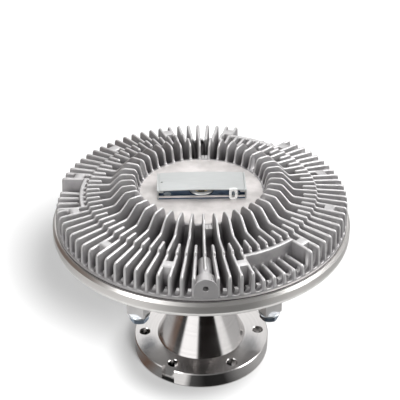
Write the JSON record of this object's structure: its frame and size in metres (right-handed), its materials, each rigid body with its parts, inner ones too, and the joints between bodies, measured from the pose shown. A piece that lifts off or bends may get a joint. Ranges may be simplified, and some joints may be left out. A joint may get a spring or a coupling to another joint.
{
  "type": "viscous fan clutch",
  "caption": "Viscous fan clutch with a radially finned cover, a machined housing rim with fan lugs, a bimetal control strip and a conical drive hub with a bolt flange.",
  "frame": {"origin": "centre of the drive flange's mounting face", "axes": "+Z along the clutch's axis, from the drive flange towards the finned cover; -Y towards the filler boss"},
  "size_m": [0.248, 0.248, 0.1763],
  "materials": {
    "cast_aluminium": "as cast, fine grain",
    "machined_aluminium": "machined",
    "turned_steel": "turned",
    "bearing_steel": "ground",
    "spring_steel": "dark",
    "sheet_steel": "bright",
    "zinc_steel": "zinc plated",
    "bimetal": "rolled",
    "cage_brass": "satin",
    "black_rubber": "matt"
  },
  "bodies": {
    "hub": {"drive_flange": "turned_steel", "drive_shaft": "turned_steel", "bearing_inner_ring": "bearing_steel", "rotor": "machined_aluminium", "rotor_washer": "spring_steel", "rotor_nut": "spring_steel"},
    "cage": {"bearing_cage": "cage_brass", "bearing_balls": "bearing_steel"},
    "housing": {"rear_housing": "machined_aluminium", "finned_cover": "cast_aluminium", "cover_seal": "black_rubber", "bearing_outer_ring": "bearing_steel", "bearing_seals": "black_rubber", "bearing_circlip": "spring_steel", "separator_plate": "sheet_steel", "separator_screws": "zinc_steel", "lever_rivet": "spring_steel", "pin_bush": "cage_brass", "pin_seal": "black_rubber", "strip_bracket": "sheet_steel", "bracket_rivets": "zinc_steel", "bimetal_strip": "bimetal", "strip_clip": "sheet_steel", "fan_bolts": "zinc_steel", "fan_washers": "zinc_steel"},
    "pin": {"control_pin": "bearing_steel"},
    "lever": {"valve_lever": "spring_steel"}
  },
  "joints": [
    {"name": "housing_spin", "type": "hinge", "parent": "hub", "child": "housing", "pos_m": [0, 0, 0.1055], "axis": [0, 0, 1], "continuous": true},
    {"name": "cage_spin", "type": "hinge", "parent": "hub", "child": "cage", "pos_m": [0, 0, 0.1055], "axis": [0, 0, 1], "continuous": true},
    {"name": "pin_slide", "type": "slide", "parent": "housing", "child": "pin", "axis": [0, 0, 1], "range_m": [0, 0.0015], "deforming": ["bimetal_strip"]},
    {"name": "lever_tilt", "type": "hinge", "parent": "housing", "child": "lever", "pos_m": [-0.026, 0, 0.1444], "axis": [0, -1, 0], "range_deg": [0, 3.4]}
  ],
  "couplings": [
    {"joint": "cage_spin", "follows": "housing_spin", "ratio": 0.589},
    {"joint": "lever_tilt", "follows": "pin_slide", "rad_per_m": 38.46}
  ]
}
